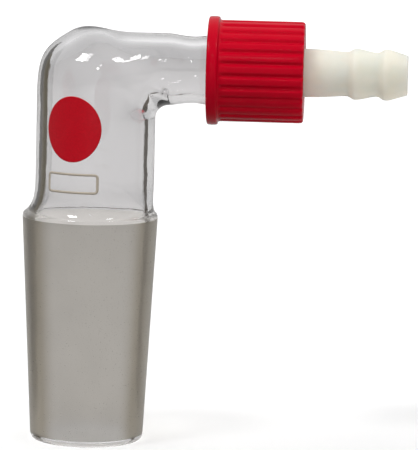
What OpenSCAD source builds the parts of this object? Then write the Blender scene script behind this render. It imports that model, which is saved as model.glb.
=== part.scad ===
// Vacuum take-off adapter: a bent glass tube with a ground taper joint below and a threaded
// side arm, on which a ribbed screw cap clamps a barbed hose connector against a seal ring.
// Millimetres. The origin is the centre of the ground joint's wide end, +Z runs up the tube
// and +X runs out along the side arm.

/* [Ground joint] */
// Diameter of the ground cone at its wide end
joint_d = 24; // [19:0.5:34]
// Length of the ground cone
joint_len = 40; // [20:1:60]
// Length over which the cone narrows by 1 mm in diameter
joint_taper = 10; // [8:1:20]
// Glass wall of the joint
joint_wall = 2; // [1.2:0.1:3]
// How far the ground surface stands proud of the tube above it
ground_step = 0.25; // [0.1:0.05:0.5]

/* [Bent tube] */
// Outside diameter of the tube above the joint
tube_d = 21; // [16:0.5:26]
// Glass wall of the tube
tube_wall = 1.8; // [1:0.1:2.6]
// Sideways lean of the tube over the joint, towards the side arm
tube_shift = 0.7; // [0:0.1:1.5]
// Height over which the tube flares out to meet the joint
flare_h = 8; // [4:0.5:12]
// Height of the side arm's axis above the joint's wide end
arm_h = 26.5; // [24:0.5:45]
// How far the domed end of the tube rises over the side arm
crown_h = 1.3; // [0:0.1:2]
// Outside radius in the crotch between the tube and the side arm
crotch_r = 2.4; // [2:0.2:4]
// Extra glass in the crotch, where the side arm is sealed on
weld_extra = 0.7; // [0:0.1:1]

/* [Side arm] */
// Outside diameter of the side arm where it leaves the tube
arm_d = 12.7; // [12.2:0.1:14.5]
// Outside diameter of the narrow neck in front of the cap
neck_d = 11.7; // [10.5:0.1:12.2]
// Outside diameter of the threaded mouth between the threads
finish_d = 12.2; // [11.5:0.1:13.5]
// Glass wall of the side arm
arm_wall = 1.6; // [1:0.1:2.2]
// Length of the neck between the bend and the threaded mouth
neck_len = 6.4; // [4:0.1:30]
// Length of the threaded mouth
finish_len = 12; // [11:0.5:14]

/* [Screw thread] */
// Axial advance of the thread in one turn
pitch = 2.5; // [2:0.25:3]
// Height of the thread ridge
thread_h = 0.85; // [0.5:0.05:1]
// Gap between the glass and the cap, crest to root
thread_gap = 0.25; // [0.15:0.05:0.4]
// Turns of thread on the glass
glass_turns = 2.75; // [1.5:0.25:3]
// Turns of thread in the cap
cap_turns = 2.25; // [1:0.25:2.5]

/* [Screw cap] */
// Wall of the cap under the grooves
cap_wall = 1.3; // [0.8:0.1:3]
// How far the plain collar at the cap's open end stands out from the ribs
collar_step = 0.65; // [0.2:0.05:1.5]
// Width of the collar
collar_w = 2; // [1:0.25:3]
// Number of ribs
rib_count = 26; // [12:1:32]
// Depth of the grooves between the ribs
groove_depth = 0.45; // [0.2:0.05:0.5]
// Width of a groove at the ribs' tops
groove_w = 0.95; // [0.5:0.05:1.2]
// Overall length of the cap
cap_len = 17; // [16:0.1:20]
// Thickness of the lip round the cap's opening
lip_t = 1.5; // [1:0.25:2.5]
// Gap between the lip and the widest part of the nozzle, which passes through it
lip_gap = 0.2; // [0.1:0.05:0.5]

/* [Hose connector] */
// Diameter of the stem where it leaves the cap
stem_d = 8.5; // [7.5:0.1:9]
// Diameter of the stem in front of the barbs
waist_d = 7.8; // [7:0.1:8.5]
// Diameter over the barbs
barb_d = 9; // [8.6:0.1:10.8]
// Diameter at the nozzle's tip
tip_d = 7.2; // [6.6:0.1:8]
// Diameter of the bore
bore_d = 5.4; // [4:0.1:6]
// Stem from the cap to the first barb
stem_len = 7.6; // [4:0.2:14]
// Length of one barb
barb_len = 5.3; // [4:0.1:7]
// Flange that the cap presses on
flange_t = 1.8; // [1.2:0.1:2.5]
// Spigot that centres the connector in the glass mouth
spigot_len = 4.5; // [3:0.5:8]
// Gap round the spigot in the glass bore
spigot_gap = 0.6; // [0.3:0.1:1]

/* [Seal ring] */
// Thickness of the seal ring
seal_t = 2; // [1:0.25:3]
// Gap between the seal ring and the spigot
seal_gap = 0.1; // [0.05:0.05:0.3]

/* [Hidden] */

round_fn = 96;
sides = 44; // flats round the bent tube's skin
turn_steps = 30; // flats in one turn of thread
seam = 0.03; // step where the bent tube's skin meets a true cone or cylinder

// Ground joint
joint_r = joint_d / 2;
tip_r = joint_r - joint_len / joint_taper / 2;

// Bent tube and side arm
tube_r = tube_d / 2;
arm_r = arm_d / 2;
neck_r = neck_d / 2;
finish_r = finish_d / 2;
finish_bore_r = finish_r - arm_wall;
crotch = [tube_shift + tube_r + crotch_r, arm_h - arm_r - crotch_r];
finish_x = crotch[0] + neck_len;
mouth_x = finish_x + finish_len;
outline_power = 5; // squareness of the bend's outline
crown_lean = 46; // lean of the ring that passes through the crown, degrees
crown_spread = 9; // how far the crown spreads each way, degrees
pinch_start = 28; // leans between which the tube narrows to the arm, degrees
pinch_end = 82;
lean_step = 5;

// Screw thread
crest_half = 0.3;
root_half = 0.75;
ridge_root = 0.4; // how far a ridge is sunk into its wall
ridge_fade = 0.15; // turns over which a ridge rises at each end
ridge_end_h = 0.3; // share of its height that a ridge starts with
glass_crest_r = finish_r + thread_h;
cap_bore_r = glass_crest_r + thread_gap;
cap_crest_r = cap_bore_r - thread_h;
rib_r = cap_bore_r + cap_wall + groove_depth;
collar_r = rib_r + collar_step;
lip_r = max(stem_d, barb_d) / 2 + lip_gap;
glass_thread_x = mouth_x - 1.3 - glass_turns * pitch;
cap_thread_x = glass_thread_x - pitch / 2;

// Stack in the cap: glass mouth, seal ring, flange, lip
flange_x = mouth_x + seal_t;
lip_x = flange_x + flange_t;
cap_end_x = lip_x + lip_t;
cap_x = cap_end_x - cap_len;
flange_fit = 0.15;
flange_r = cap_crest_r - flange_fit;
seal_r = flange_r - flange_fit;
spigot_r = finish_bore_r - spigot_gap;

// Nozzle
barb_count = 2;
barb_rise = 1.2; // length of a barb's steep side
barb_land = 0.8; // length of a barb's crest
barb_x = cap_end_x + stem_len;
tip_x = barb_x + barb_count * barb_len;
valley_d = waist_d - 0.15;
edge = 0.3; // broken edges of the plastic pieces

function mix(a, b, t) = a + (b - a) * t;
function ease(t) = let (c = min(1, max(0, t))) c * c * (3 - 2 * c);

// One ring of the skin: centre [x, z], lean of its plane, half length across, half width.
function ring(c, lean, across, half_y) = [
    for (i = [0 : sides - 1])
        let (a = 360 * i / sides)
        [c[0] - cos(lean) * across * cos(a), half_y * sin(a), c[1] + sin(lean) * across * cos(a)]
];

// Rings of the bend fan out from the crotch: lean 0 lies flat in the tube, 90 stands in the arm.
function crown(lean) = crown_h * exp(-pow((lean - crown_lean) / crown_spread, 2));
function reach(lean) =
    let (
        along = tube_shift + tube_r + crotch_r - (tube_shift - tube_r),
        up = arm_d + crotch_r + crown(lean),
        n = outline_power
    )
    1 / pow(pow(cos(lean) / along, n) + pow(sin(lean) / up, n), 1 / n);
function half_width(lean) =
    mix(tube_r, arm_r, ease((lean - pinch_start) / (pinch_end - pinch_start)));
function bend_ring(lean, wall, weld) =
    let (
        near = crotch_r + wall + weld * sin(2 * lean),
        far = reach(lean) - wall,
        mid = (near + far) / 2
    )
    ring(crotch + mid * [-cos(lean), sin(lean)], lean, (far - near) / 2, half_width(lean) - wall);

// Rings of the flare between the joint and the tube. A wall of 0 gives the outside.
function flare(t) = 1 - pow(1 - t, 3);
function flare_ring(t, inside) =
    let (
        wide = inside ? joint_r - joint_wall + seam : joint_r - ground_step,
        narrow = inside ? tube_r - tube_wall : tube_r,
        r = mix(wide, narrow, flare(t))
    )
    ring([tube_shift * flare(t), flare_h * t], 0, r, r);

// Rings along the side arm, from the bend through the neck to the threaded mouth.
arm_stations = [[0, arm_r], [0.35, mix(arm_r, neck_r, 0.7)], [0.65, neck_r], [1, finish_r - seam]];
function arm_ring(station, inside) =
    let (
        x = mix(crotch[0], finish_x, station[0]),
        r = station[1] - (inside ? arm_wall - 2 * seam * station[0] : 0)
    )
    ring([x, arm_h], 90, r, r);

flare_steps = [0, 0.12, 0.3, 0.55, 1];
function skin(inside) = concat(
    [for (t = flare_steps) flare_ring(t, inside)],
    [for (lean = [0 : lean_step : 90])
        bend_ring(lean, inside ? mix(tube_wall, arm_wall, lean / 90) : 0, inside ? weld_extra : 0)],
    [for (i = [1 : len(arm_stations) - 1]) arm_ring(arm_stations[i], inside)]
);
function reversed(list) = [for (i = [len(list) - 1 : -1 : 0]) list[i]];
function flat(list) = [for (part = list) each part];

// Triangles that join a closed loop of rings, each of n points.
function loop_faces(rings, n) = [
    for (r = [0 : rings - 1], i = [0 : n - 1])
        let (
            a = r * n + i,
            b = r * n + (i + 1) % n,
            c = (r + 1) % rings * n + (i + 1) % n,
            d = (r + 1) % rings * n + i
        )
        each [[a, b, c], [a, c, d]]
];

module bent_tube() {
    rings = concat(skin(false), reversed(skin(true)));
    polyhedron(flat(rings), loop_faces(len(rings), sides), convexity = 8);
}

// Ground cone with a fire-polished tip.
module taper_joint() {
    polish_r = joint_wall / 2;
    rotate_extrude($fn = round_fn)
        polygon(concat(
            [[joint_r, 0], [joint_r - joint_wall, 0]],
            [for (a = [180 : 30 : 360])
                [tip_r - polish_r + polish_r * cos(a), polish_r - joint_len + polish_r * sin(a)]]
        ));
}

module along_x(x) {
    translate([x, 0, arm_h]) rotate([0, 90, 0]) children();
}

module tube_x(x, len, r, bore) {
    along_x(x)
        difference() {
            cylinder(h = len, r = r, $fn = round_fn);
            translate([0, 0, -1]) cylinder(h = len + 2, r = bore, $fn = round_fn);
        }
}

// Helical ridge round the arm's axis, from root_r to crest_r, starting at x.
module ridge(x, turns, wall_r, crest_r) {
    outward = sign(crest_r - wall_r);
    root_r = wall_r - outward * ridge_root;
    slope = (root_half - crest_half) / thread_h;
    steps = round(turns * turn_steps);
    function height(t) =
        thread_h * mix(ridge_end_h, 1, min(1, min(t, turns - t) / ridge_fade));
    function section(t) =
        let (a = 360 * t, top = wall_r + outward * height(t), sunk = root_half + slope * ridge_root)
        let (half = root_half - slope * height(t))
        [for (p = [[-sunk, root_r], [-half, top], [half, top], [sunk, root_r]])
            [x + pitch * t + p[0], p[1] * cos(a), arm_h + p[1] * sin(a)]];
    points = flat([for (i = [0 : steps]) section(turns * i / steps)]);
    sides_faces = [
        for (i = [0 : steps - 1], k = [0 : 3])
            let (a = 4 * i + k, b = 4 * i + (k + 1) % 4, c = b + 4, d = a + 4)
            each outward > 0 ? [[a, b, c], [a, c, d]] : [[a, c, b], [a, d, c]]
    ];
    first = [[3, 2, 1], [3, 1, 0]];
    last = [for (f = first) [4 * steps + f[2], 4 * steps + f[1], 4 * steps + f[0]]];
    ends = concat(first, last);
    polyhedron(points,
        concat(sides_faces, outward > 0 ? ends : [for (f = ends) [f[2], f[1], f[0]]]),
        convexity = 8);
}

module glass_body() {
    color([0.86, 0.87, 0.88, 0.45]) union() {
        taper_joint();
        bent_tube();
        tube_x(finish_x, finish_len, finish_r, finish_bore_r);
        ridge(glass_thread_x, glass_turns, finish_r, glass_crest_r);
    }
}

// Section of the ribbed skirt.
module ribbed_disc() {
    difference() {
        circle(r = rib_r, $fn = round_fn);
        for (i = [0 : rib_count - 1])
            rotate(360 / rib_count * i)
                polygon([
                    [rib_r + 1, -groove_w / 2], [rib_r + 1, groove_w / 2],
                    [rib_r - 0.05, groove_w / 2],
                    [rib_r - groove_depth, groove_w / 4], [rib_r - groove_depth, -groove_w / 4],
                    [rib_r - 0.05, -groove_w / 2]
                ]);
    }
}

module screw_cap() {
    color([0.78, 0.02, 0.1]) union() {
        difference() {
            union() {
                along_x(cap_x) cylinder(h = collar_w, r = collar_r, $fn = round_fn);
                along_x(cap_x + collar_w)
                    linear_extrude(cap_len - collar_w - edge) ribbed_disc();
                along_x(cap_end_x - edge)
                    cylinder(h = edge, r = rib_r - groove_depth - edge / 2, $fn = round_fn);
            }
            along_x(cap_x - 1) cylinder(h = lip_x - cap_x + 1, r = cap_bore_r, $fn = round_fn);
            along_x(lip_x - 1) cylinder(h = lip_t + 2, r = lip_r, $fn = round_fn);
        }
        ridge(cap_thread_x, cap_turns, cap_bore_r, cap_crest_r);
    }
}

// Half section of the connector, drawn along its axis.
function barb_points(i) =
    let (x = barb_x + i * barb_len, after = i == barb_count - 1 ? tip_d : valley_d)
    [[x, (i == 0 ? waist_d : valley_d) / 2], [x + barb_rise, barb_d / 2],
     [x + barb_rise + barb_land, barb_d / 2], [x + barb_len - edge, after / 2]];

module hose_connector() {
    bore_r = bore_d / 2;
    outline = concat(
        [[flange_x - spigot_len, bore_r], [flange_x - spigot_len, spigot_r - edge],
         [flange_x - spigot_len + edge, spigot_r], [flange_x, spigot_r],
         [flange_x, flange_r], [lip_x, flange_r], [lip_x, stem_d / 2],
         [cap_end_x + stem_len / 3, stem_d / 2]],
        flat([for (i = [0 : barb_count - 1]) barb_points(i)]),
        [[tip_x, tip_d / 2 - edge], [tip_x, bore_r]]
    );
    color([0.93, 0.93, 0.88])
        along_x(0)
            rotate_extrude($fn = round_fn)
                polygon([for (p = outline) [p[1], p[0]]]);
}

module seal_ring() {
    color([0.85, 0.85, 0.83]) tube_x(mouth_x, seal_t, seal_r, spigot_r + seal_gap);
}

glass_body();
screw_cap();
hose_connector();
seal_ring();
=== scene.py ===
import math

import bmesh
import bpy
from bpy.props import FloatProperty, FloatVectorProperty, IntProperty, PointerProperty
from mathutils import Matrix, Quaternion, Vector


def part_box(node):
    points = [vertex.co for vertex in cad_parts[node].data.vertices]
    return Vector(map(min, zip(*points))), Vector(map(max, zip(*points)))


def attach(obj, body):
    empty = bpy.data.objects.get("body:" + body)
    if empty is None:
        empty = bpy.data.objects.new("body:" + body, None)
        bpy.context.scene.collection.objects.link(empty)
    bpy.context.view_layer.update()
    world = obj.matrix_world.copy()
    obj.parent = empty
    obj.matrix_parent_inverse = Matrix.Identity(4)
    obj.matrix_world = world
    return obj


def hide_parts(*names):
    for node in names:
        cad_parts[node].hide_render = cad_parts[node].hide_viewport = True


bl_info = {
    "name": "Vacuum take-off adapter",
    "version": (1, 0, 0),
    "blender": (4, 5, 0),
    "location": "3D View > Sidebar > Adapter",
    "description": "Bent glass adapter with a ground joint, a screw cap and a hose connector",
    "category": "Object",
}

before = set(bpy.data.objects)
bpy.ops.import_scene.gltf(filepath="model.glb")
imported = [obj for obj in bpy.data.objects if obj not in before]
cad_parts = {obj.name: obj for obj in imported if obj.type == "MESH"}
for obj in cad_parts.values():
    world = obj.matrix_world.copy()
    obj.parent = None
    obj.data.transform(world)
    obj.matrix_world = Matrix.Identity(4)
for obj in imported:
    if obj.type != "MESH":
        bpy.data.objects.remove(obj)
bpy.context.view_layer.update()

GLASS_LOW, GLASS_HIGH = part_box("glass_body")
CAP_LOW, CAP_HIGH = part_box("screw_cap")
HOSE_LOW, HOSE_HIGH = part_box("hose_connector")
SEAL_LOW, SEAL_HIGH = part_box("seal_ring")

JOINT_R = GLASS_HIGH.y
FLOOR_Z = GLASS_LOW.z
ARM_Z = (SEAL_LOW.z + SEAL_HIGH.z) / 2
MOUTH_X = SEAL_LOW.x
FLANGE_X = SEAL_HIGH.x
COLLAR_R = CAP_HIGH.y
FLANGE_R = HOSE_HIGH.y
SEAL_R = SEAL_HIGH.y

MM = 0.001
GLASS_IOR = 1.474
WHITE = (1.0, 1.0, 1.0, 1.0)
# Places and ratios that differ by less than this are taken as equal.
SLACK = 1e-6
# Nearly all of a noise's values lie between these two.
DRIFT = (0.3, 0.7)


def length(name, description, default):
    """A size in metres that a user may change."""
    return FloatProperty(name=name, description=description, default=default, unit="LENGTH",
                         subtype="DISTANCE", precision=5)


def colour(name, description, default):
    """A linear colour that a user may change."""
    return FloatVectorProperty(name=name, description=description, default=default,
                               subtype="COLOR", size=3, min=0.0, max=1.0)


class GlassShape(bpy.types.PropertyGroup):
    """Sizes of the blown glass body"""

    segments: IntProperty(name="Segments", description="Faces round the tube", default=72, min=24)
    taper: FloatProperty(name="Taper", description="Narrowing in diameter per length", default=0.1)
    joint_wall: length("Joint wall", "Glass wall of the ground joint", 0.002)
    shoulder: length("Shoulder height", "Height of the round clear edge over the cone", 0.0008)
    edge: length("Shoulder width", "Width of the round clear edge", 0.0004)
    polish: length("Polished rim", "Height of the clear rim at the joint's tip", 0.0012)
    tube_r: length("Tube radius", "Outside radius of the upright tube", 0.0105)
    tube_wall: length("Tube wall", "Glass wall of the upright tube", 0.0018)
    shift: length("Tube shift", "Lean of the tube over the joint, towards the arm", 0.0007)
    flare: length("Flare height", "Height over which the tube meets the joint", 0.008)
    crown: length("Crown", "How far the domed end rises over the arm", 0.0013)
    crotch: length("Crotch radius", "Outside radius between the tube and the arm", 0.0024)
    weld: length("Weld", "Extra glass in the crotch", 0.0007)
    arm_r: length("Arm radius", "Outside radius of the arm where it leaves the tube", 0.00635)
    neck_r: length("Neck radius", "Outside radius of the neck before the cap", 0.00585)
    finish_r: length("Mouth radius", "Outside radius between the threads", 0.0061)
    arm_wall: length("Arm wall", "Glass wall of the arm", 0.0016)
    neck: length("Neck length", "From the bend to the threaded mouth", 0.0064)


class ThreadShape(bpy.types.PropertyGroup):
    """Sizes of the screw thread that the glass mouth and the cap share"""

    pitch: length("Pitch", "Axial advance in one turn", 0.0025)
    height: length("Height", "Height of the ridge", 0.00085)
    crest: length("Crest", "Half width of the ridge at its top", 0.0003)
    root: length("Root", "Half width of the ridge at its foot", 0.00075)
    glass_turns: FloatProperty(name="Glass turns", description="Turns on the glass", default=2.75)
    cap_turns: FloatProperty(name="Cap turns", description="Turns in the cap", default=2.25)
    setback: length("Setback", "From the last ridge to the edge of the mouth", 0.0013)
    fade: FloatProperty(name="Fade", description="Turns over which a ridge rises", default=0.15)


class CapShape(bpy.types.PropertyGroup):
    """Sizes of the ribbed screw cap"""

    ribs: IntProperty(name="Ribs", description="Number of ribs round the cap", default=26, min=8)
    rib_r: length("Rib radius", "Outside radius over the ribs", 0.00895)
    groove: length("Groove depth", "Depth of the grooves between the ribs", 0.00045)
    collar: length("Collar width", "Width of the plain collar", 0.002)
    bore_r: length("Bore radius", "Radius of the bore between the threads", 0.0072)
    lip_r: length("Opening radius", "Radius of the opening in the end", 0.0047)
    lip: length("Lip thickness", "Thickness of the cap's end", 0.0015)


class NozzleShape(bpy.types.PropertyGroup):
    """Sizes of the hose connector"""

    segments: IntProperty(name="Segments", description="Faces round the nozzle", default=80, min=24)
    bore_r: length("Bore radius", "Radius of the gas way", 0.0027)
    spigot_r: length("Spigot radius", "Radius of the spigot in the glass mouth", 0.0039)
    stem_r: length("Stem radius", "Radius where the stem leaves the cap", 0.00425)
    waist_r: length("Waist radius", "Radius in front of the barbs", 0.0039)
    barb_r: length("Barb radius", "Radius over the barbs", 0.0045)
    tip_r: length("Tip radius", "Radius at the end", 0.0036)
    stem: length("Stem length", "From the cap to the first barb", 0.0076)
    barb: length("Barb length", "Length of one barb", 0.0053)


class MarkShape(bpy.types.PropertyGroup):
    """Sizes and places of the fired enamel marks on the tube"""

    turn: FloatProperty(name="Turn", description="Turn of the marks round the tube",
                        default=math.radians(-18.8), unit="ROTATION", subtype="ANGLE")
    spot_w: length("Spot width", "Width of the colour spot", 0.0101)
    spot_h: length("Spot height", "Height of the colour spot", 0.0116)
    spot_z: length("Spot place", "Height of the spot's middle", 0.0165)
    field_w: length("Field width", "Width of the write-in field", 0.0095)
    field_h: length("Field height", "Height of the write-in field", 0.0036)
    field_z: length("Field place", "Height of the field's middle", 0.0070)
    line: length("Field line", "Width of the field's outline", 0.00042)
    thickness: length("Enamel", "Thickness of the enamel", 0.00004)


class Finishes(bpy.types.PropertyGroup):
    """Colours and finishes of the pieces"""

    glass: colour("Glass", "Tint of the clear glass", (0.965, 0.958, 0.965))
    ground: colour("Ground glass", "Tint of the ground joint", (0.62, 0.595, 0.55))
    # Painted shade: the dark brown that the ground glass is given where it is seen edge on.
    rim: colour("Painted edge shade", "Ground glass seen edge on", (0.215, 0.185, 0.135))
    cap: colour("Cap", "Moulded plastic of the cap", (0.53, 0.0, 0.014))
    nozzle: colour("Connector", "Moulded plastic of the hose connector", (0.80, 0.775, 0.67))
    rubber: colour("Seal", "Rubber of the seal ring", (0.52, 0.50, 0.44))
    spot: colour("Spot", "Enamel of the colour spot", (0.52, 0.0, 0.01))
    field: colour("Field", "Enamel of the write-in field", (0.50, 0.44, 0.36))


class StageSettings(bpy.types.PropertyGroup):
    """The camera, the lights and the floor"""

    azimuth: FloatProperty(name="Azimuth", description="Camera's turn round the object",
                           default=math.radians(2.7), unit="ROTATION", subtype="ANGLE")
    elevation: FloatProperty(name="Elevation", description="Camera's height over the horizon",
                             default=math.radians(8.0), unit="ROTATION", subtype="ANGLE")
    roll: FloatProperty(name="Roll", description="Camera's turn about its line of sight",
                        default=math.radians(1.3), unit="ROTATION", subtype="ANGLE")
    distance: length("Distance", "From the camera to the object", 0.7)
    lens: FloatProperty(name="Lens", description="Focal length in millimetres", default=316.4)
    key: FloatProperty(name="Key light", description="Power of the main light", default=2.4,
                       unit="POWER")
    side: FloatProperty(name="Side light", description="Power of the smaller light", default=1.0,
                        unit="POWER")
    fill: FloatProperty(name="Fill light", description="Power of the light overhead", default=10.5,
                        unit="POWER")
    front: FloatProperty(name="Front light", description="Power of the soft light from the front",
                         default=3.5, unit="POWER")
    strip: FloatProperty(name="Strip light", description="Power of the small light over the lens",
                         default=0.15, unit="POWER")


# Sums -----------------------------------------------------------------------------------------
# Places are in metres, in the solid model's frame: Z up the joint and X out along the side arm.

def mix(a, b, t):
    """The value that lies the share t of the way from a to b."""
    return a + (b - a) * t


def ease(t):
    """A soft step from 0 to 1."""
    t = min(max(t, 0.0), 1.0)
    return t * t * (3 - 2 * t)


def angles(*degrees):
    """Angles in radians, from degrees."""
    return [math.radians(value) for value in degrees]


def level_ring(z, r, x=0.0):
    """A level ring about the joint's axis, or x beside it."""
    return (x, z, 0.0, r, r)


def arm_ring(x, r):
    """An upright ring about the side arm's axis."""
    return (x, ARM_Z, math.pi / 2, r, r)


def turned(x, r, *steps):
    """Profile points at these steps from one place, in millimetres along and outwards."""
    return [(x + along * MM, r + out * MM) for along, out in steps]


def thread_start(thread):
    """Where along the side arm the ridge on the glass starts."""
    return MOUTH_X - thread.setback - thread.glass_turns * thread.pitch


# Edit-mode steps ------------------------------------------------------------------------------

def deselect():
    """Leaves nothing selected, so that the next operator acts on its own piece only."""
    if bpy.context.object and bpy.context.object.mode != "OBJECT":
        bpy.ops.object.mode_set(mode="OBJECT")
    bpy.ops.object.select_all(action="DESELECT")


def select_only(piece):
    """Selects one piece and makes it the active one."""
    deselect()
    piece.select_set(True)
    bpy.context.view_layer.objects.active = piece


def select_points(piece, wanted):
    """Selects the vertices of the piece in edit mode whose place the test accepts."""
    bpy.ops.mesh.select_mode(type="VERT")
    bpy.ops.mesh.select_all(action="DESELECT")
    mesh = bmesh.from_edit_mesh(piece.data)
    for point in mesh.verts:
        point.select = wanted(point.co)
    mesh.select_flush(True)
    bmesh.update_edit_mesh(piece.data)


def select_faces(piece, wanted):
    """Selects the faces of the piece in edit mode whose middle the test accepts."""
    bpy.ops.mesh.select_mode(type="FACE")
    bpy.ops.mesh.select_all(action="DESELECT")
    mesh = bmesh.from_edit_mesh(piece.data)
    for face in mesh.faces:
        face.select = wanted(face.calc_center_median())
    bmesh.update_edit_mesh(piece.data)


def loft(name, rings, segments):
    """Extrudes one circle through the rings and closes the last onto the first.

    A ring is its centre's x and z, the lean of its plane, its half width in that plane and its
    half width in Y. Lean 0 lies flat and 90 degrees stands across the side arm.
    """
    deselect()
    bpy.ops.mesh.primitive_circle_add(vertices=segments, radius=1.0, fill_type="NOTHING")
    piece = bpy.context.object
    piece.name = name
    bpy.ops.object.mode_set(mode="EDIT")
    bpy.ops.mesh.select_mode(type="EDGE")
    bpy.ops.mesh.select_all(action="SELECT")
    x, z, lean, across, side = rings[0]
    bpy.ops.transform.resize(value=(across, side, 1.0), center_override=(0, 0, 0))
    bpy.ops.transform.translate(value=(x, 0, z))
    bpy.ops.transform.rotate(value=-lean, orient_axis="Y", center_override=(x, 0, z))
    for before, ring in zip(rings, rings[1:]):
        x, z, lean, across, side = ring
        centre = (x, 0, z)
        bpy.ops.mesh.extrude_edges_move(
            TRANSFORM_OT_translate={"value": (x - before[0], 0, z - before[1])})
        if abs(lean - before[2]) > SLACK:
            bpy.ops.transform.rotate(value=before[2] - lean, orient_axis="Y",
                                     center_override=centre)
        wider = across / before[3]
        deeper = side / before[4]
        if abs(wider - 1) > SLACK or abs(deeper - 1) > SLACK:
            bpy.ops.transform.resize(value=(wider, deeper, wider), center_override=centre)
    bpy.ops.mesh.select_all(action="DESELECT")
    bpy.ops.mesh.select_non_manifold(extend=False, use_wire=False, use_boundary=True,
                                     use_multi_face=False, use_non_contiguous=False,
                                     use_verts=False)
    bpy.ops.mesh.bridge_edge_loops()
    bpy.ops.mesh.select_all(action="SELECT")
    bpy.ops.mesh.normals_make_consistent(inside=False)
    bpy.ops.object.mode_set(mode="OBJECT")
    return piece


def lathe(name, profile, segments):
    """A closed ring-shaped piece about the side arm's axis, from pairs of x and radius."""
    return loft(name, [arm_ring(x, r) for x, r in profile], segments)


def apply_modifier(piece, kind, **values):
    """Adds a modifier with these values and applies it."""
    select_only(piece)
    modifier = piece.modifiers.new(kind.title(), kind)
    for key, value in values.items():
        setattr(modifier, key, value)
    bpy.ops.object.modifier_apply(modifier=modifier.name)


def subdivide(piece):
    """One smooth subdivision, with the same levels in the viewport and the render."""
    apply_modifier(piece, "SUBSURF", levels=1, render_levels=1)


def smooth(piece):
    """Smooth shading all over."""
    select_only(piece)
    bpy.ops.object.shade_smooth()


def raise_thread(piece, start, turns, low_r, high_r):
    """Raises a helical ridge along the normals of the wall between two radii.

    Over the thread's fade at each end, the ridge rises from a low share of its height.
    """
    end_share = 0.3
    thread = bpy.context.scene.adapter_thread
    group = piece.vertex_groups.new(name="thread")
    for point in piece.data.vertices:
        y, z = point.co.y, point.co.z - ARM_Z
        if not low_r < math.hypot(y, z) < high_r:
            continue
        wound = (math.atan2(z, y) / math.tau) % 1.0
        weight = 0.0
        while wound <= turns:
            away = abs(point.co.x - start - thread.pitch * wound)
            ends = min(1.0, min(wound, turns - wound) / thread.fade)
            flank = (thread.root - away) / (thread.root - thread.crest)
            weight = max(weight, min(flank, mix(end_share, 1.0, ends)))
            wound += 1.0
        if weight > 0:
            group.add([point.index], weight, "REPLACE")
    apply_modifier(piece, "DISPLACE", vertex_group=group.name, strength=thread.height,
                   mid_level=0.0, direction="NORMAL")
    piece.vertex_groups.clear()


def finish_piece(piece, materials, body, node=None):
    """Puts the materials on, hangs the piece on its body and hides the solid part that it stands
    for.
    """
    for material in materials:
        piece.data.materials.append(material)
    smooth(piece)
    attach(piece, body)
    if node:
        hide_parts(node)
    deselect()


# Materials ------------------------------------------------------------------------------------

def feed(tree, node, inputs):
    """Sets each input of a node to a value, or links it to a socket."""
    for key, value in inputs.items():
        if isinstance(value, bpy.types.NodeSocket):
            tree.links.new(value, node.inputs[key])
        else:
            node.inputs[key].default_value = value


def add(tree, kind, inputs=None, **values):
    """A node with these properties, and these values or links on its inputs."""
    made = tree.nodes.new(kind)
    for key, value in values.items():
        setattr(made, key, value)
    feed(tree, made, inputs or {})
    return made


def remap(tree, value, start, end, low=0.0, high=1.0, kind="LINEAR"):
    """A value that runs from low to high while the given one goes from start to end."""
    made = add(tree, "ShaderNodeMapRange", {"Value": value, "From Min": start, "From Max": end,
                                            "To Min": low, "To Max": high},
               interpolation_type=kind)
    return made.outputs["Result"]


def mix_colours(tree, factor, first, second):
    """A mix of two colours, each of them a value or a socket."""
    made = add(tree, "ShaderNodeMix", {"Factor": factor, "A": first, "B": second},
               data_type="RGBA")
    return made.outputs["Result"]


def mix_shaders(tree, factor, first, second):
    """A mix of two shaders: the first where the factor is 0, the second where it is 1."""
    made = add(tree, "ShaderNodeMixShader", {"Fac": factor, 1: first, 2: second})
    return made.outputs["Shader"]


def scaled(tint, factor):
    """A colour made lighter or darker, and opaque."""
    return (*(min(1.0, part * factor) for part in tint), 1.0)


def surface_group():
    """Broad drift and fine grain, read from a piece's own place."""
    found = bpy.data.node_groups.get("Surface drift")
    if found:
        return found
    tree = bpy.data.node_groups.new("Surface drift", "ShaderNodeTree")
    face = tree.interface
    face.new_socket("Vector", in_out="INPUT", socket_type="NodeSocketVector")
    for name, value in (("Broad Scale", 80.0), ("Fine Scale", 2500.0), ("Fine Share", 0.5)):
        face.new_socket(name, in_out="INPUT", socket_type="NodeSocketFloat").default_value = value
    for name in ("Broad", "Fine", "Height"):
        face.new_socket(name, in_out="OUTPUT", socket_type="NodeSocketFloat")
    at = tree.nodes.new("NodeGroupInput").outputs
    broad = add(tree, "ShaderNodeTexNoise",
                {"Vector": at["Vector"], "Scale": at["Broad Scale"], "Detail": 3.0})
    fine = add(tree, "ShaderNodeTexNoise",
               {"Vector": at["Vector"], "Scale": at["Fine Scale"], "Detail": 4.0})
    height = add(tree, "ShaderNodeMix", {"Factor": at["Fine Share"], "A": broad.outputs["Fac"],
                                         "B": fine.outputs["Fac"]})
    add(tree, "NodeGroupOutput", {"Broad": broad.outputs["Fac"], "Fine": fine.outputs["Fac"],
                                  "Height": height.outputs["Result"]})
    return tree


def start_material(name, broad, fine, fine_share):
    """A material with an empty Principled surface, and its drift group at these scales."""
    material = bpy.data.materials.new(name)
    material.use_nodes = True
    tree = material.node_tree
    tree.nodes.clear()
    shader = tree.nodes.new("ShaderNodeBsdfPrincipled")
    add(tree, "ShaderNodeOutputMaterial", {"Surface": shader.outputs["BSDF"]})
    place = tree.nodes.new("ShaderNodeTexCoord")
    drift = add(tree, "ShaderNodeGroup", node_tree=surface_group())
    feed(tree, drift, {"Vector": place.outputs["Object"], "Broad Scale": broad,
                       "Fine Scale": fine, "Fine Share": fine_share})
    return material, tree, shader, drift.outputs


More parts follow.
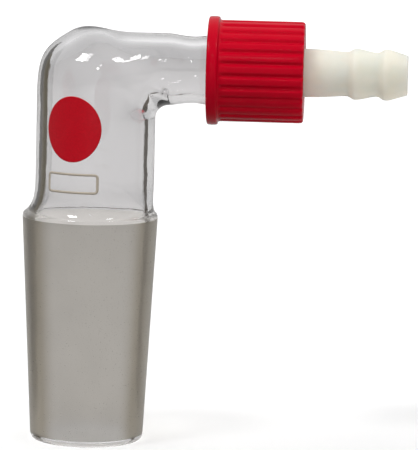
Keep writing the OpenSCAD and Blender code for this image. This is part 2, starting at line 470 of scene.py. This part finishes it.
def vary_colour(tree, shader, value, low, high):
    """Base colour that drifts between two colours with the value."""
    tint = mix_colours(tree, remap(tree, value, *DRIFT), low, high)
    feed(tree, shader, {"Base Color": tint})


def vary_roughness(tree, shader, value, low, high):
    """Roughness that drifts with the value."""
    feed(tree, shader, {"Roughness": remap(tree, value, *DRIFT, low, high)})


def add_bump(tree, shader, height, distance, strength):
    """A bump of this depth in metres."""
    bump = add(tree, "ShaderNodeBump", {"Height": height, "Distance": distance,
                                        "Strength": strength})
    feed(tree, shader, {"Normal": bump.outputs["Normal"]})


def fade(tree, shader, factor, tint):
    """Lets the surface give way to clear colour where the factor is 1."""
    out = next(node for node in tree.nodes if node.type == "OUTPUT_MATERIAL")
    clear = add(tree, "ShaderNodeBsdfTransparent", {"Color": tint})
    both = mix_shaders(tree, factor, shader.outputs["BSDF"], clear.outputs["BSDF"])
    feed(tree, out, {"Surface": both})


def let_light_through(tree, shader, tint):
    """Lets shadow rays pass, so that the light behind the glass isn't lost."""
    path = tree.nodes.new("ShaderNodeLightPath")
    fade(tree, shader, path.outputs["Is Shadow Ray"], tint)


def clear_glass():
    """Blown borosilicate: clear, with the slow ripples of lamp work."""
    tint = bpy.context.scene.adapter_finish.glass
    material, tree, shader, drift = start_material("clear_glass", broad=160.0, fine=900.0,
                                                   fine_share=0.12)
    feed(tree, shader, {"Transmission Weight": 1.0, "IOR": GLASS_IOR})
    vary_colour(tree, shader, drift["Broad"], scaled(tint, 0.985), scaled(tint, 1.0))
    vary_roughness(tree, shader, drift["Broad"], 0.0, 0.012)
    add_bump(tree, shader, drift["Height"], 0.12 * MM, 0.5)
    let_light_through(tree, shader, (0.94, 0.94, 0.94, 1.0))
    return material


def ground_glass():
    """The joint's ground surface: matt, with a fine even tooth, and painted shade seen edge on.

    Light that has come in through one side leaves through the other with little more loss.
    """
    finish = bpy.context.scene.adapter_finish
    material, tree, shader, drift = start_material("ground_glass", broad=140.0, fine=5200.0,
                                                   fine_share=0.8)
    feed(tree, shader, {"Transmission Weight": 0.92, "IOR": GLASS_IOR})
    side = tree.nodes.new("ShaderNodeNewGeometry")
    facing = tree.nodes.new("ShaderNodeLayerWeight")
    # Painted shade: where the surface is seen edge on, its colour turns to the dark brown rim
    # colour, standing in for the dark bands the thick wall shows there.
    painted_edge_shade = remap(tree, facing.outputs["Facing"], 0.16, 0.4, kind="SMOOTHSTEP")
    entering = mix_colours(tree, painted_edge_shade, scaled(finish.ground, 0.65), scaled(finish.rim, 1.0))
    tint = mix_colours(tree, side.outputs["Backfacing"], entering, scaled(finish.ground, 1.5))
    cloud = remap(tree, drift["Broad"], *DRIFT, 0.95, 1.03)
    clouded_tint_with_painted_shade = add(tree, "ShaderNodeVectorMath", {0: tint, "Scale": cloud}, operation="SCALE")
    feed(tree, shader, {"Base Color": clouded_tint_with_painted_shade.outputs["Vector"]})
    vary_roughness(tree, shader, drift["Fine"], 0.27, 0.33)
    add_bump(tree, shader, drift["Height"], 0.008 * MM, 0.35)
    let_light_through(tree, shader, (0.72, 0.72, 0.71, 1.0))
    return material


def moulded_plastic(name, tint, rough, grain, broad=90.0, gloss=0.3, depth=0.0):
    """Moulded plastic with a faint cloudiness, a soft gloss and a fine tool finish."""
    material, tree, shader, drift = start_material(name, broad, fine=3600.0, fine_share=0.7)
    feed(tree, shader, {"IOR": 1.49, "Specular IOR Level": gloss, "Subsurface Weight": depth,
                        "Subsurface Radius": (1.0, 0.85, 0.75), "Subsurface Scale": 3.5 * MM})
    vary_colour(tree, shader, drift["Broad"], scaled(tint, 0.92), scaled(tint, 1.05))
    vary_roughness(tree, shader, drift["Broad"], rough - 0.05, rough + 0.06)
    add_bump(tree, shader, drift["Height"], grain, 0.6)
    return material


def enamel(name, tint):
    """Fired enamel: dense colour with a slightly pebbled, satin surface."""
    material, tree, shader, drift = start_material(name, broad=700.0, fine=3000.0, fine_share=0.4)
    feed(tree, shader, {"Specular IOR Level": 0.25})
    vary_colour(tree, shader, drift["Fine"], scaled(tint, 0.9), scaled(tint, 1.06))
    vary_roughness(tree, shader, drift["Broad"], 0.3, 0.45)
    add_bump(tree, shader, drift["Height"], 0.02 * MM, 0.5)
    return material


# Pieces ---------------------------------------------------------------------------------------

def cone_r(glass, z):
    """Radius of the ground cone at this height."""
    return JOINT_R + z * glass.taper / 2


def half_width(glass, lean):
    """The bend's half width in Y, which narrows from the tube to the arm."""
    start, end = angles(28, 82)
    return mix(glass.tube_r, glass.arm_r, ease((lean - start) / (end - start)))


def bend_ring(glass, lean, wall, weld):
    """One ring of the bend. The rings fan out from the crotch."""
    crotch_x = glass.shift + glass.tube_r + glass.crotch
    crotch_z = ARM_Z - glass.arm_r - glass.crotch
    crown_at, crown_spread = angles(46, 9)
    crown = glass.crown * math.exp(-((lean - crown_at) / crown_spread) ** 2)
    along = 2 * glass.tube_r + glass.crotch
    up = 2 * glass.arm_r + glass.crotch + crown
    squareness = 5
    reach = ((math.cos(lean) / along) ** squareness
             + (math.sin(lean) / up) ** squareness) ** (-1 / squareness)
    near = glass.crotch + wall + weld * math.sin(2 * lean)
    far = reach - wall
    middle = (near + far) / 2
    return (crotch_x - middle * math.cos(lean), crotch_z + middle * math.sin(lean), lean,
            (far - near) / 2, half_width(glass, lean) - wall)


def tube_skin(glass, inside):
    """Rings from the joint's wide end through the flare, the bend and the neck."""
    narrow = glass.tube_r - (glass.tube_wall if inside else 0.0)
    rings = []
    if inside:
        wide, low, curl = JOINT_R - glass.joint_wall, 0.0, 3
    else:
        wide, low, curl = JOINT_R - glass.edge, glass.shoulder, 6
        for turn in angles(20, 40, 60):
            r = JOINT_R - glass.edge * (1 - math.cos(turn))
            rings.append(level_ring(glass.shoulder * math.sin(turn), r))
    for t in (0.0, 0.03, 0.07, 0.12, 0.2, 0.3, 0.42, 0.56, 0.75, 1.0):
        r = mix(narrow, wide, (1 - t) ** curl)
        aside = glass.shift * (1 - (1 - t) ** 3)
        rings.append(level_ring(mix(low, glass.flare, t), r, aside))
    for degrees in range(0, 91, 3):
        wall = mix(glass.tube_wall, glass.arm_wall, degrees / 90) if inside else 0.0
        rings.append(bend_ring(glass, math.radians(degrees), wall, glass.weld if inside else 0.0))
    start = glass.shift + glass.tube_r + glass.crotch
    wall = glass.arm_wall if inside else 0.0
    middle_r = mix(glass.arm_r, glass.neck_r, 0.7)
    for t, r in ((0.18, mix(glass.arm_r, middle_r, 0.45)), (0.35, middle_r),
                 (0.52, mix(middle_r, glass.neck_r, 0.8)), (0.7, glass.neck_r),
                 (0.85, mix(glass.neck_r, glass.finish_r, 0.35))):
        rings.append(arm_ring(start + glass.neck * t, r - wall))
    return rings


class ADAPTER_OT_glass(bpy.types.Operator):
    """Lofts the blown glass body: ground joint, tube, bend, side arm and threaded mouth"""

    bl_idname = "adapter.glass"
    bl_label = "Glass body"

    def execute(self, context):
        glass = context.scene.adapter_glass
        thread = context.scene.adapter_thread
        # The joint, from its tip up. Close rings keep both ends of the ground band sharp.
        tip_r = cone_r(glass, FLOOR_Z)
        edge = glass.joint_wall / 2
        rings = []
        for turn in angles(*range(180, 361, 20)):
            r = tip_r - edge + edge * math.cos(turn)
            rings.append(level_ring(FLOOR_Z + edge + edge * math.sin(turn), r))
        ground_foot, ground_top = FLOOR_Z + glass.polish, -0.01 * MM
        for z in (ground_foot + 0.1 * MM, FLOOR_Z + 3 * MM, -30 * MM, -20 * MM, -10 * MM,
                  -1.2 * MM, -0.2 * MM, 0.0):
            rings.append(level_ring(z, cone_r(glass, z)))
        rings += tube_skin(glass, False)
        # The mouth, with rings close enough to carry the thread.
        neck_end = glass.shift + glass.tube_r + glass.crotch + glass.neck
        thread_end = MOUTH_X - 0.7 * MM
        thread_rings = 54
        for i in range(thread_rings + 1):
            rings.append(arm_ring(mix(neck_end, thread_end, i / thread_rings), glass.finish_r))
        edge = 0.5 * MM
        bore = glass.finish_r - glass.arm_wall
        for turn in angles(30, 60, 90):
            r = glass.finish_r - edge + edge * math.cos(turn)
            rings.append(arm_ring(MOUTH_X - edge + edge * math.sin(turn), r))
        for turn in angles(90, 60, 30, 0):
            r = bore + edge - edge * math.cos(turn)
            rings.append(arm_ring(MOUTH_X - edge + edge * math.sin(turn), r))
        # The inside, from the mouth back to the joint's tip.
        rings += [arm_ring(x, bore) for x in (MOUTH_X - 3 * MM, MOUTH_X - 8 * MM, neck_end)]
        rings += reversed(tube_skin(glass, True))
        for z in (-10 * MM, -20 * MM, -30 * MM, FLOOR_Z + 3 * MM):
            rings.append(level_ring(z, cone_r(glass, z) - glass.joint_wall))
        piece = loft("glass_tube", rings, glass.segments)
        band = 0.1 * MM
        raise_thread(piece, thread_start(thread), thread.glass_turns, glass.finish_r - band,
                     glass.finish_r + band)
        subdivide(piece)
        piece.data.materials.append(clear_glass())
        piece.data.materials.append(ground_glass())
        bpy.ops.object.mode_set(mode="EDIT")
        select_faces(piece, lambda at: ground_foot < at.z < ground_top
                     and math.hypot(at.x, at.y) > cone_r(glass, at.z) - glass.joint_wall / 2)
        piece.active_material_index = 1
        bpy.ops.object.material_slot_assign()
        finish_piece(piece, (), "glass", "glass_body")
        return {"FINISHED"}


class ADAPTER_OT_cap(bpy.types.Operator):
    """Shapes the ribbed screw cap with its collar, grooves, opening and inner thread"""

    bl_idname = "adapter.cap"
    bl_label = "Screw cap"

    def execute(self, context):
        cap = context.scene.adapter_cap
        thread = context.scene.adapter_thread
        start, end = CAP_LOW.x, CAP_HIGH.x
        ribs_from = start + cap.collar
        lip_x = end - cap.lip
        profile = turned(start, cap.bore_r, (0.45, 0), (0.12, 0.1), (0, 0.4))
        profile += turned(start, COLLAR_R, (0, -0.5), (0.08, -0.16), (0.3, 0))
        profile += turned(ribs_from, COLLAR_R, (-0.35, 0), (-0.1, -0.1), (0, -0.35))
        profile += turned(ribs_from, cap.rib_r, (0.05, 0.06), (0.25, 0))
        # Rings that carry the grooves: place, radius, and share of the groove's full depth.
        grooved = [(x, cap.rib_r, depth) for x, depth in (
            (ribs_from + 0.45 * MM, 0.25), (ribs_from + 0.65 * MM, 0.75),
            (ribs_from + 0.95 * MM, 1.0), (ribs_from + 2.5 * MM, 1.0),
            (mix(ribs_from, end, 0.5), 1.0), (end - 2 * MM, 1.0), (end - 0.6 * MM, 1.0))]
        grooved += [(end - 0.3 * MM, cap.rib_r - 0.06 * MM, 0.9),
                    (end - 0.1 * MM, cap.rib_r - 0.2 * MM, 0.6),
                    (end, cap.rib_r - 0.5 * MM, 0.15)]
        profile += [(x, r) for x, r, _ in grooved]
        profile += turned(end, cap.rib_r, (0, -1.2))
        profile += turned(end, cap.lip_r, (0, 0.35), (-0.08, 0.1), (-0.3, 0))
        profile += turned(lip_x, cap.lip_r, (0.3, 0), (0.06, 0.06), (0, 0.3))
        profile += turned(lip_x, cap.bore_r, (0, -0.4), (-0.1, -0.1), (-0.4, 0))
        thread_rings = 46
        profile += [(mix(lip_x - 0.7 * MM, start + 0.75 * MM, i / thread_rings), cap.bore_r)
                    for i in range(thread_rings + 1)]
        per_rib = 10
        piece = lathe("cap", profile, cap.ribs * per_rib)
        bpy.ops.object.mode_set(mode="EDIT")
        # A groove's section: steps from its middle, and share of its depth.
        section = {0: 1.0, 1: 0.86, 2: 0.16, 3: 0.02}
        for x, r, depth in grooved:
            for step, drop in section.items():
                self.select_steps(piece, cap.ribs, per_rib, x, r, step)
                inward = (r - cap.groove * depth * drop) / r
                bpy.ops.transform.resize(value=(1.0, inward, inward),
                                         center_override=(x, 0, ARM_Z))
        bpy.ops.object.mode_set(mode="OBJECT")
        # Half a pitch back, the cap's ridge runs between the turns of the glass's.
        first = thread_start(thread) - thread.pitch / 2
        band = 0.02 * MM
        raise_thread(piece, first, thread.cap_turns, cap.bore_r - band, cap.bore_r + band)
        subdivide(piece)
        tint = context.scene.adapter_finish.cap
        plastic = moulded_plastic("cap_red", tint, rough=0.2, grain=0.01 * MM, gloss=0.07)
        finish_piece(piece, [plastic], "cap", "screw_cap")
        return {"FINISHED"}

    @staticmethod
    def select_steps(piece, ribs, per_rib, x, r, step):
        """Selects the points of one outer ring that lie this many steps from a groove's middle."""
        x_slack, r_slack = 5 * SLACK, 20 * SLACK

        def wanted(at):
            y, z = at.y, at.z - ARM_Z
            if abs(at.x - x) > x_slack or abs(math.hypot(y, z) - r) > r_slack:
                return False
            place = round(math.atan2(z, y) / math.tau * ribs * per_rib) % per_rib
            return min(place, per_rib - place) == step
        select_points(piece, wanted)


class ADAPTER_OT_nozzle(bpy.types.Operator):
    """Turns the hose connector with its spigot, flange, stem and two soft barbs"""

    bl_idname = "adapter.nozzle"
    bl_label = "Hose connector"

    def execute(self, context):
        hose = context.scene.adapter_nozzle
        spigot_x, tip_x = HOSE_LOW.x, HOSE_HIGH.x
        lip_x = CAP_HIGH.x - context.scene.adapter_cap.lip
        first = CAP_HIGH.x + hose.stem
        profile = turned(spigot_x, hose.bore_r, (0.3, 0), (0.05, 0.1), (0, 0.3))
        profile += turned(spigot_x, hose.spigot_r, (0, -0.3), (0.1, -0.1), (0.3, 0))
        profile += turned(FLANGE_X, hose.spigot_r, (-0.3, 0), (-0.02, 0), (0, 0.05))
        profile += turned(FLANGE_X, FLANGE_R, (0, -0.2), (0.02, -0.02), (0.2, 0))
        profile += turned(lip_x, FLANGE_R, (-0.2, 0), (-0.02, -0.02), (0, -0.2))
        profile += turned(lip_x, hose.stem_r, (0, 0.25), (0.06, 0.06), (0.25, 0))
        profile += [(CAP_HIGH.x, hose.stem_r), (CAP_HIGH.x + hose.stem * 0.3, hose.stem_r),
                    (CAP_HIGH.x + hose.stem * 0.6, mix(hose.stem_r, hose.waist_r, 0.45))]
        profile += turned(first, hose.waist_r, (-0.9, 0.02), (-0.2, 0))
        valley = hose.waist_r - 0.075 * MM
        for x, before, after in ((first, hose.waist_r, valley),
                                 (first + hose.barb, valley, hose.tip_r)):
            profile += turned(x, before, (0.15, 0.03))
            profile += [(x + 0.6 * MM, mix(before, hose.barb_r, 0.5))]
            profile += turned(x, hose.barb_r, (1.05, -0.03), (1.35, 0), (1.9, -0.005))
            profile += [(x + 2.4 * MM, mix(hose.barb_r, after, 0.14)),
                        (x + 3.5 * MM, mix(hose.barb_r, after, 0.52)),
                        (x + 4.7 * MM, mix(hose.barb_r, after, 0.92))]
        profile += turned(tip_x, hose.tip_r, (-0.32, 0), (-0.1, -0.08), (0, -0.3))
        profile += turned(tip_x, hose.bore_r, (0, 0.2), (-0.05, 0.05), (-0.25, 0), (-6, 0))
        profile += [(mix(spigot_x, tip_x, 0.5), hose.bore_r)]
        piece = lathe("nozzle", profile, hose.segments)
        subdivide(piece)
        tint = context.scene.adapter_finish.nozzle
        plastic = moulded_plastic("nozzle_ivory", tint, rough=0.42, grain=0.015 * MM,
                                  broad=140.0, depth=1.0)
        finish_piece(piece, [plastic], "connector", "hose_connector")
        return {"FINISHED"}


class ADAPTER_OT_seal(bpy.types.Operator):
    """Turns the flat seal ring that lies between the glass mouth and the flange"""

    bl_idname = "adapter.seal"
    bl_label = "Seal ring"

    def execute(self, context):
        inner = context.scene.adapter_nozzle.spigot_r + 0.1 * MM
        profile = turned(MOUTH_X, inner, (0.25, 0), (0.05, 0.05), (0, 0.25))
        profile += turned(MOUTH_X, SEAL_R, (0, -0.25), (0.05, -0.05), (0.25, 0))
        profile += turned(FLANGE_X, SEAL_R, (-0.25, 0), (-0.05, -0.05), (0, -0.25))
        profile += turned(FLANGE_X, inner, (0, 0.25), (-0.05, 0.05), (-0.25, 0))
        piece = lathe("seal", profile, 72)
        subdivide(piece)
        tint = context.scene.adapter_finish.rubber
        rubber = moulded_plastic("seal_rubber", tint, rough=0.68, grain=0.03 * MM)
        finish_piece(piece, [rubber], "connector", "seal_ring")
        return {"FINISHED"}


class ADAPTER_OT_marks(bpy.types.Operator):
    """Lays the plain colour spot and the blank write-in field on the front of the tube"""

    bl_idname = "adapter.marks"
    bl_label = "Enamel marks"

    def execute(self, context):
        marks = context.scene.adapter_marks
        finish = context.scene.adapter_finish
        deselect()
        bpy.ops.mesh.primitive_circle_add(vertices=64, radius=0.5, fill_type="NOTHING")
        spot = self.start("colour_spot", marks.spot_w, marks.spot_h)
        bpy.ops.mesh.select_mode(type="EDGE")
        before = 1.0
        for size in (0.97, 0.9, 0.8, 0.7, 0.6, 0.5, 0.4, 0.3, 0.2, 0.1):
            bpy.ops.mesh.extrude_edges_move()
            ratio = size / before
            bpy.ops.transform.resize(value=(ratio, ratio, 1), center_override=(0, 0, 0))
            before = size
        bpy.ops.mesh.merge(type="CENTER")
        self.lay(context, spot, marks.spot_z, enamel("enamel_red", finish.spot))
        deselect()
        bpy.ops.mesh.primitive_plane_add(size=1.0)
        field = self.start("write_in_field", marks.field_w, marks.field_h)
        bpy.ops.mesh.bevel(offset=0.7 * MM, segments=5, affect="VERTICES")
        bpy.ops.mesh.inset(thickness=marks.line)
        bpy.ops.mesh.delete(type="FACE")
        cuts = 20
        for i in range(1, cuts):
            bpy.ops.mesh.select_all(action="SELECT")
            place = (marks.field_w * (i / cuts - 0.5), 0, 0)
            bpy.ops.mesh.bisect(plane_co=place, plane_no=(1, 0, 0))
        self.lay(context, field, marks.field_z, enamel("enamel_sand", finish.field))
        return {"FINISHED"}

    @staticmethod
    def start(name, width, height):
        """Names the new flat primitive, enters edit mode and gives it its size."""
        piece = bpy.context.object
        piece.name = name
        bpy.ops.object.mode_set(mode="EDIT")
        bpy.ops.mesh.select_all(action="SELECT")
        bpy.ops.transform.resize(value=(width, height, 1), center_override=(0, 0, 0))
        return piece

    @staticmethod
    def lay(context, piece, z, material):
        """Stands a flat shape before the tube, lays it on the glass and gives it thickness."""
        bpy.ops.object.mode_set(mode="OBJECT")
        marks = context.scene.adapter_marks
        glass = context.scene.adapter_glass
        out = Vector((math.sin(marks.turn), -math.cos(marks.turn), 0))
        piece.location = Vector((glass.shift, 0, z)) + out * 2 * glass.tube_r
        piece.rotation_euler = (math.pi / 2, 0, marks.turn)
        bpy.context.view_layer.update()
        apply_modifier(piece, "SHRINKWRAP", target=bpy.data.objects["glass_tube"],
                       wrap_method="PROJECT", use_negative_direction=True,
                       use_positive_direction=False, use_project_z=True, offset=0.01 * MM)
        apply_modifier(piece, "SOLIDIFY", thickness=marks.thickness, offset=1.0)
        bpy.ops.object.transform_apply(location=True, rotation=True, scale=True)
        finish_piece(piece, [material], "glass")


# Stage ----------------------------------------------------------------------------------------

def towards(azimuth, elevation, distance, focus):
    """The point at this distance from the focus. Azimuth 0 is the front and 90 the right."""
    a, e = angles(azimuth, elevation)
    return focus + distance * Vector((math.sin(a) * math.cos(e), -math.cos(a) * math.cos(e),
                                      math.sin(e)))


def matt(card, tint):
    """Gives a card its own plain matt material, and returns the material's tree and shader."""
    material = bpy.data.materials.new(card.name)
    material.use_nodes = True
    tree = material.node_tree
    shader = tree.nodes["Principled BSDF"]
    feed(tree, shader, {"Base Color": (*tint, 1.0), "Roughness": 1.0, "Specular IOR Level": 0.0})
    card.data.materials.append(material)
    return tree, shader


def hide_from(card, *rays):
    """Makes a card a part of the stage that these kinds of ray don't meet."""
    for ray in rays:
        setattr(card, "visible_" + ray, False)


class ADAPTER_OT_stage(bpy.types.Operator):
    """Sets up the floor, the room, the lights, the dark cards, the white card and the camera"""

    bl_idname = "adapter.stage"
    bl_label = "Stage"

    def execute(self, context):
        stage = context.scene.adapter_stage
        focus = Vector((0.0211, 0.0, -0.001))
        context.scene.view_settings.view_transform = "Standard"
        self.floor()
        self.world(context.scene)
        # A lamp's azimuth, elevation, distance and size, and whether the glass mirrors it.
        for name, azimuth, elevation, distance, size, mirrored in (
                ("key", -46, 54, 0.9, 0.18, True), ("side", 52, 58, 0.9, 0.13, True),
                ("fill", 0, 90, 2.4, 3.0, False), ("front", 5, 8, 0.9, 0.6, False),
                ("strip", -2, 38, 0.9, 0.05, True)):
            place = towards(azimuth, elevation, distance, focus)
            lamp = self.lamp(name, place, focus, size, getattr(stage, name))
            lamp.visible_glossy = mirrored
            lamp.visible_transmission = mirrored
        # A card's first and last angle off the line of sight, and its colour.
        self.card(stage, "card_left", -18, -34, (0.032, 0.026, 0.017))
        self.card(stage, "card_far_left", -34, -58, (0.135, 0.115, 0.075))
        self.card(stage, "card_right", 38, 56, (0.055, 0.04, 0.024))
        self.bounce()
        self.camera(context.scene, stage, focus)
        deselect()
        return {"FINISHED"}

    @staticmethod
    def floor():
        """A plain pale floor, which the glass sees greyer, and which throws little light up."""
        deselect()
        bpy.ops.mesh.primitive_circle_add(vertices=128, radius=6.0, fill_type="NGON",
                                          location=(0, 0, FLOOR_Z))
        floor = bpy.context.object
        floor.name = "floor"
        material = bpy.data.materials.new("floor_pale")
        material.use_nodes = True
        tree = material.node_tree
        tree.nodes.clear()
        path = tree.nodes.new("ShaderNodeLightPath").outputs
        place = tree.nodes.new("ShaderNodeTexCoord")
        away = add(tree, "ShaderNodeVectorMath", {0: place.outputs["Object"]}, operation="LENGTH")
        plain = {"Roughness": 0.9, "Specular IOR Level": 0.0, "Emission Color": WHITE}
        seen = add(tree, "ShaderNodeBsdfPrincipled", plain)
        feed(tree, seen, {"Base Color": (0.8, 0.8, 0.8, 1),
                          "Emission Strength": remap(tree, away.outputs["Value"],
                                                     0.05, 0.9, 0.2, 0.6)})
        unseen = add(tree, "ShaderNodeBsdfPrincipled", plain)
        feed(tree, unseen, {"Base Color": (0.42, 0.415, 0.41, 1), "Emission Strength": 0.23})
        dim = add(tree, "ShaderNodeBsdfDiffuse", {"Color": (0.14, 0.135, 0.13, 1)})
        rest = mix_shaders(tree, path["Is Diffuse Ray"], unseen.outputs["BSDF"],
                           dim.outputs["BSDF"])
        both = mix_shaders(tree, path["Is Camera Ray"], rest, seen.outputs["BSDF"])
        add(tree, "ShaderNodeOutputMaterial", {"Surface": both})
        floor.data.materials.append(material)

    @staticmethod
    def world(scene):
        """Pale where the camera sees it, and otherwise a dim room with a light back wall."""
        world = bpy.data.worlds.new("studio")
        scene.world = world
        world.use_nodes = True
        tree = world.node_tree
        tree.nodes.clear()
        path = tree.nodes.new("ShaderNodeLightPath")
        place = tree.nodes.new("ShaderNodeTexCoord")
        split = add(tree, "ShaderNodeSeparateXYZ", {"Vector": place.outputs["Generated"]})
        depth = remap(tree, split.outputs["Y"], -0.7, 0.5, 0.1, 0.54)
        above = remap(tree, split.outputs["Z"], 0.15, 0.7, 0.0, 0.36)
        light = add(tree, "ShaderNodeMath", {0: depth, 1: above}, operation="ADD")
        pale = add(tree, "ShaderNodeBackground", {"Color": WHITE, "Strength": 1.0})
        room = add(tree, "ShaderNodeBackground",
                   {"Color": WHITE, "Strength": light.outputs["Value"]})
        both = mix_shaders(tree, path.outputs["Is Camera Ray"], room.outputs["Background"],
                           pale.outputs["Background"])
        add(tree, "ShaderNodeOutputWorld", {"Surface": both})

    @staticmethod
    def lamp(name, place, focus, size, power):
        """A soft square light that faces the object."""
        deselect()
        bpy.ops.object.light_add(type="AREA", location=place)
        lamp = bpy.context.object
        lamp.name = name
        lamp.data.size = size
        lamp.data.energy = power
        lamp.rotation_mode = "QUATERNION"
        lamp.rotation_quaternion = (focus - lamp.location).to_track_quat("-Z", "Y")
        return lamp

    @staticmethod
    def card(stage, name, first, last, tint):
        """A dark card behind the object, between two angles off the line of sight.

        It stands upright and folds forward along the floor to the object's side. Only the view
        through the glass shows it, and it fades for light that has crossed the whole tube, both
        walls of it. What stays dark is the rim of the glass, so that the tube looks clear from
        every side.
        """
        deselect()
        side = math.copysign(0.009, first)
        behind, top = 0.1, 0.06
        near, far = (side + behind * math.tan(angle) for angle in angles(first, last))
        middle, width = (near + far) / 2, abs(far - near)
        low = FLOOR_Z + 0.2 * MM
        bpy.ops.mesh.primitive_plane_add(size=1.0)
        card = bpy.context.object
        card.name = name
        bpy.ops.object.mode_set(mode="EDIT")
        bpy.ops.mesh.select_all(action="SELECT")
        bpy.ops.transform.rotate(value=math.pi / 2, orient_axis="X", center_override=(0, 0, 0))
        bpy.ops.transform.resize(value=(width, 1, top - low), center_override=(0, 0, 0))
        bpy.ops.transform.translate(value=(middle, behind, (top + low) / 2))
        select_points(card, lambda at: at.z < low + SLACK)
        foot = (2 * side, 0.018, low)
        forward = (foot[0] - middle, foot[1] - behind, 0)
        bpy.ops.mesh.extrude_region_move(TRANSFORM_OT_translate={"value": forward})
        bpy.ops.transform.resize(value=(0.1, 1, 1), center_override=foot)
        bpy.ops.mesh.select_all(action="SELECT")
        bpy.ops.transform.rotate(value=-stage.azimuth, orient_axis="Z",
                                 center_override=(0, 0, 0))
        bpy.ops.object.mode_set(mode="OBJECT")
        tree, shader = matt(card, tint)
        path = tree.nodes.new("ShaderNodeLightPath")
        crossed = remap(tree, path.outputs["Transmission Depth"], 3.0, 4.0, 0.0, 0.7)
        fade(tree, shader, crossed, WHITE)
        hide_from(card, "camera", "shadow", "diffuse", "glossy")

    @staticmethod
    def bounce():
        """A white card under the hose connector. It only throws light up and is never seen."""
        deselect()
        bpy.ops.mesh.primitive_plane_add(size=0.042, location=(0.060, 0, 0.008))
        card = bpy.context.object
        card.name = "card_bounce"
        matt(card, (0.9, 0.87, 0.84))
        hide_from(card, "camera", "shadow", "glossy", "transmission")

    @staticmethod
    def camera(scene, stage, focus):
        """A long lens from the front, a little above and to the right."""
        place = towards(math.degrees(stage.azimuth), math.degrees(stage.elevation),
                        stage.distance, focus)
        bpy.ops.object.camera_add(location=place)
        camera = bpy.context.object
        camera.name = "camera"
        camera.data.lens = stage.lens
        camera.data.sensor_width = 36.0
        camera.data.clip_start = 0.01
        camera.data.clip_end = 30.0
        camera.rotation_mode = "QUATERNION"
        sight = (focus - place).to_track_quat("-Z", "Y")
        camera.rotation_quaternion = sight @ Quaternion((0, 0, 1), stage.roll)
        scene.camera = camera


# Add-on ---------------------------------------------------------------------------------------

GROUPS = (("adapter_glass", GlassShape), ("adapter_thread", ThreadShape),
          ("adapter_cap", CapShape), ("adapter_nozzle", NozzleShape),
          ("adapter_marks", MarkShape), ("adapter_finish", Finishes),
          ("adapter_stage", StageSettings))
OPERATORS = (ADAPTER_OT_glass, ADAPTER_OT_cap, ADAPTER_OT_nozzle, ADAPTER_OT_seal,
             ADAPTER_OT_marks, ADAPTER_OT_stage)


class ADAPTER_PT_panel(bpy.types.Panel):
    """Lists the adapter's pieces and their sizes"""

    bl_label = "Vacuum take-off adapter"
    bl_idname = "ADAPTER_PT_panel"
    bl_space_type = "VIEW_3D"
    bl_region_type = "UI"
    bl_category = "Adapter"

    def draw(self, context):
        for operator in OPERATORS:
            self.layout.operator(operator.bl_idname)
        for name, group in GROUPS:
            box = self.layout.box()
            box.label(text=group.__doc__)
            for key in group.__annotations__:
                box.prop(getattr(context.scene, name), key)


def register():
    """Registers the settings, the operators and the panel."""
    for name, group in GROUPS:
        bpy.utils.register_class(group)
        setattr(bpy.types.Scene, name, PointerProperty(type=group))
    for operator in OPERATORS:
        bpy.utils.register_class(operator)
    bpy.utils.register_class(ADAPTER_PT_panel)


def unregister():
    """Takes the panel, the operators and the settings away again."""
    bpy.utils.unregister_class(ADAPTER_PT_panel)
    for operator in reversed(OPERATORS):
        bpy.utils.unregister_class(operator)
    for name, group in reversed(GROUPS):
        delattr(bpy.types.Scene, name)
        bpy.utils.unregister_class(group)


def main():
    """Builds every piece and the stage."""
    register()
    bpy.ops.adapter.glass()
    bpy.ops.adapter.cap()
    bpy.ops.adapter.nozzle()
    bpy.ops.adapter.seal()
    bpy.ops.adapter.marks()
    bpy.ops.adapter.stage()


if __name__ == "__main__":
    main()
